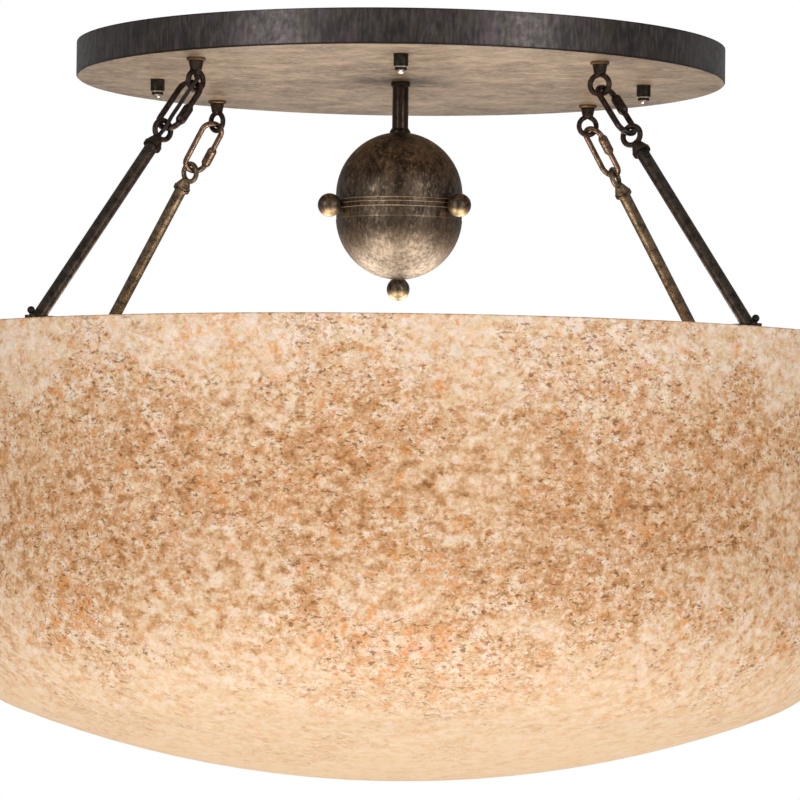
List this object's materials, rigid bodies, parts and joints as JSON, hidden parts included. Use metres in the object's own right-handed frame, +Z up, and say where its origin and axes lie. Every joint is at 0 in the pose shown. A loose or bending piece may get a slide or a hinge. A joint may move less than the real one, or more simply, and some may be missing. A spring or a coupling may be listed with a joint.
{
  "type": "semi flush ceiling light",
  "caption": "Shallow drum canopy with a ball drop in its middle; eye bolts, quick links and slanting rods carry a wide alabaster-pattern bowl below it.",
  "frame": {"origin": "centre of the ceiling screw circle in the ceiling plane, which is the top face of the ceiling cross and the canopy edge", "axes": "+Z up, out of the ceiling face and along the middle axis; -Y is the front as pictured; +X is the right of the picture"},
  "size_m": [0.9679, 0.968, 0.733],
  "materials": {
    "canopy_bronze": "aged bronze lacquer on spun steel, mottled, satin",
    "cast_bronze": "cast brass with an oil-rubbed bronze patina",
    "link_bronze": "bent wire with a bronze plating, coppery on its edges",
    "rod_bronze": "brass tube with a brushed bronze patina",
    "ball_bronze": "spun brass with a mottled antique patina",
    "nut_bronze": "turned brass, dark bronze plating",
    "nickel_steel": "nickel plated steel rod",
    "zinc_steel": "zinc plated steel",
    "bowl_resin": "cast resin with an alabaster pattern: brown grains and veins, satin",
    "porcelain": "white glazed porcelain",
    "lamp_opal": "opal glass lamp, unlit",
    "cord_pvc": "dark brown sheathed cord",
    "connector_nylon": "moulded nylon"
  },
  "bodies": {
    "canopy": {"ball_band": "ball_bronze", "ball_lower_shell": "ball_bronze", "ball_upper_shell": "ball_bronze", "canopy_pan": "canopy_bronze", "canopy_stiffener_ring": "zinc_steel", "canopy_studs": "nickel_steel", "ceiling_cross": "zinc_steel", "centre_pipe": "zinc_steel", "eye_bolt_back_left": "cast_bronze", "eye_bolt_back_right": "cast_bronze", "eye_bolt_front_left": "cast_bronze", "eye_bolt_front_right": "cast_bronze", "eye_bolt_nuts": "zinc_steel", "pipe_nuts": "zinc_steel", "pipe_washers": "zinc_steel", "stem_collar": "cast_bronze", "stem_foot_ring": "cast_bronze", "stem_tube": "rod_bronze", "stud_lock_nuts": "zinc_steel", "supply_cord_canopy": "cord_pvc", "wire_connector": "connector_nylon"},
    "bowl_group": {"bowl": "bowl_resin", "foot_screws": "zinc_steel", "frame_bolts": "zinc_steel", "holder_fixings": "zinc_steel", "knob_screws": "nut_bronze", "lamp_frame": "zinc_steel", "lampholders": "porcelain", "rod_back_left": "rod_bronze", "rod_back_right": "rod_bronze", "rod_eye_back_left": "cast_bronze", "rod_eye_back_right": "cast_bronze", "rod_eye_front_left": "cast_bronze", "rod_eye_front_right": "cast_bronze", "rod_feet": "cast_bronze", "rod_front_left": "rod_bronze", "rod_front_right": "rod_bronze", "supply_cord_rod": "cord_pvc", "support_ring": "zinc_steel"},
    "link_front_right": {"quick_link_front_right": "link_bronze"},
    "sleeve_front_right": {"link_sleeve_front_right": "link_bronze"},
    "link_back_right": {"quick_link_back_right": "link_bronze"},
    "sleeve_back_right": {"link_sleeve_back_right": "link_bronze"},
    "link_back_left": {"quick_link_back_left": "link_bronze"},
    "sleeve_back_left": {"link_sleeve_back_left": "link_bronze"},
    "link_front_left": {"quick_link_front_left": "link_bronze", "supply_cord_link": "cord_pvc"},
    "sleeve_front_left": {"link_sleeve_front_left": "link_bronze"},
    "canopy_nut_front": {"canopy_nut_front": "nut_bronze"},
    "lamp_front": {"lamp_front": "lamp_opal"},
    "canopy_nut_right": {"canopy_nut_right": "nut_bronze"},
    "lamp_right": {"lamp_right": "lamp_opal"},
    "canopy_nut_back": {"canopy_nut_back": "nut_bronze"},
    "lamp_back": {"lamp_back": "lamp_opal"},
    "canopy_nut_left": {"canopy_nut_left": "nut_bronze"},
    "lamp_left": {"lamp_left": "lamp_opal"},
    "side_knob_right": {"side_knob_right": "ball_bronze"},
    "side_knob_back": {"side_knob_back": "ball_bronze"},
    "side_knob_left": {"side_knob_left": "ball_bronze"},
    "finial": {"finial": "ball_bronze"}
  },
  "joints": [
    {"name": "bowl_sway", "type": "hinge", "parent": "canopy", "child": "bowl_group", "pos_m": [0, 0, 0.28485], "axis": [0, 1, 0], "range_deg": [-0.4, 0.4]},
    {"name": "link_swing_front_right", "type": "hinge", "parent": "canopy", "child": "link_front_right", "pos_m": [0.19617, -0.20145, -0.06366], "axis": [0, 1, 0], "range_deg": [-4.3, 4.3]},
    {"name": "link_swing_back_right", "type": "hinge", "parent": "canopy", "child": "link_back_right", "pos_m": [0.20145, 0.19617, -0.06366], "axis": [0, 1, 0], "range_deg": [-4.3, 4.3]},
    {"name": "link_swing_back_left", "type": "hinge", "parent": "canopy", "child": "link_back_left", "pos_m": [-0.19595, 0.20122, -0.06328], "axis": [0, 1, 0], "range_deg": [-4.3, 4.3]},
    {"name": "link_swing_front_left", "type": "hinge", "parent": "canopy", "child": "link_front_left", "pos_m": [-0.20122, -0.19595, -0.06328], "axis": [0, 1, 0], "range_deg": [-4.3, 4.3], "deforming": ["supply_cord_link"]},
    {"name": "sleeve_slide_front_right", "type": "slide", "parent": "link_front_right", "child": "sleeve_front_right", "axis": [0.4381, -0.4499, -0.7783], "range_m": [0, 0.0168]},
    {"name": "sleeve_slide_back_right", "type": "slide", "parent": "link_back_right", "child": "sleeve_back_right", "axis": [0.4499, 0.4381, -0.7783], "range_m": [0, 0.0168]},
    {"name": "sleeve_slide_back_left", "type": "slide", "parent": "link_back_left", "child": "sleeve_back_left", "axis": [0.4381, -0.4499, 0.7783], "range_m": [0, 0.0168]},
    {"name": "sleeve_slide_front_left", "type": "slide", "parent": "link_front_left", "child": "sleeve_front_left", "axis": [0.4499, 0.4381, 0.7783], "range_m": [0, 0.0168]},
    {"name": "canopy_nut_turn_front", "type": "hinge", "parent": "canopy", "child": "canopy_nut_front", "pos_m": [0, -0.244, -0.042], "axis": [0, 0, 1], "continuous": true},
    {"name": "canopy_nut_turn_right", "type": "hinge", "parent": "canopy", "child": "canopy_nut_right", "pos_m": [0.244, 0, -0.042], "axis": [0, 0, 1], "continuous": true},
    {"name": "canopy_nut_turn_back", "type": "hinge", "parent": "canopy", "child": "canopy_nut_back", "pos_m": [0, 0.244, -0.042], "axis": [0, 0, 1], "continuous": true},
    {"name": "canopy_nut_turn_left", "type": "hinge", "parent": "canopy", "child": "canopy_nut_left", "pos_m": [-0.244, 0, -0.042], "axis": [0, 0, 1], "continuous": true},
    {"name": "lamp_turn_front", "type": "hinge", "parent": "bowl_group", "child": "lamp_front", "pos_m": [0, -0.17, -0.354], "axis": [0, 0, 1], "continuous": true},
    {"name": "lamp_turn_right", "type": "hinge", "parent": "bowl_group", "child": "lamp_right", "pos_m": [0.17, 0, -0.354], "axis": [0, 0, 1], "continuous": true},
    {"name": "lamp_turn_back", "type": "hinge", "parent": "bowl_group", "child": "lamp_back", "pos_m": [0, 0.17, -0.354], "axis": [0, 0, 1], "continuous": true},
    {"name": "lamp_turn_left", "type": "hinge", "parent": "bowl_group", "child": "lamp_left", "pos_m": [-0.17, 0, -0.354], "axis": [0, 0, 1], "continuous": true},
    {"name": "side_knob_turn_right", "type": "hinge", "parent": "canopy", "child": "side_knob_right", "pos_m": [0.05005, -0.03827, -0.1607], "axis": [0.7944, -0.6074, 0], "continuous": true},
    {"name": "side_knob_turn_back", "type": "hinge", "parent": "canopy", "child": "side_knob_back", "pos_m": [0.00811, 0.06248, -0.1607], "axis": [0.1288, 0.9917, 0], "continuous": true},
    {"name": "side_knob_turn_left", "type": "hinge", "parent": "canopy", "child": "side_knob_left", "pos_m": [-0.05816, -0.02421, -0.1607], "axis": [-0.9232, -0.3843, 0], "continuous": true},
    {"name": "finial_turn", "type": "hinge", "parent": "canopy", "child": "finial", "pos_m": [0, 0, -0.24212], "axis": [0, 0, 1], "continuous": true}
  ],
  "couplings": [
    {"joint": "link_swing_front_right", "follows": "bowl_sway", "ratio": 10.548},
    {"joint": "link_swing_back_right", "follows": "bowl_sway", "ratio": 10.548},
    {"joint": "link_swing_back_left", "follows": "bowl_sway", "ratio": 10.537},
    {"joint": "link_swing_front_left", "follows": "bowl_sway", "ratio": 10.537}
  ]
}
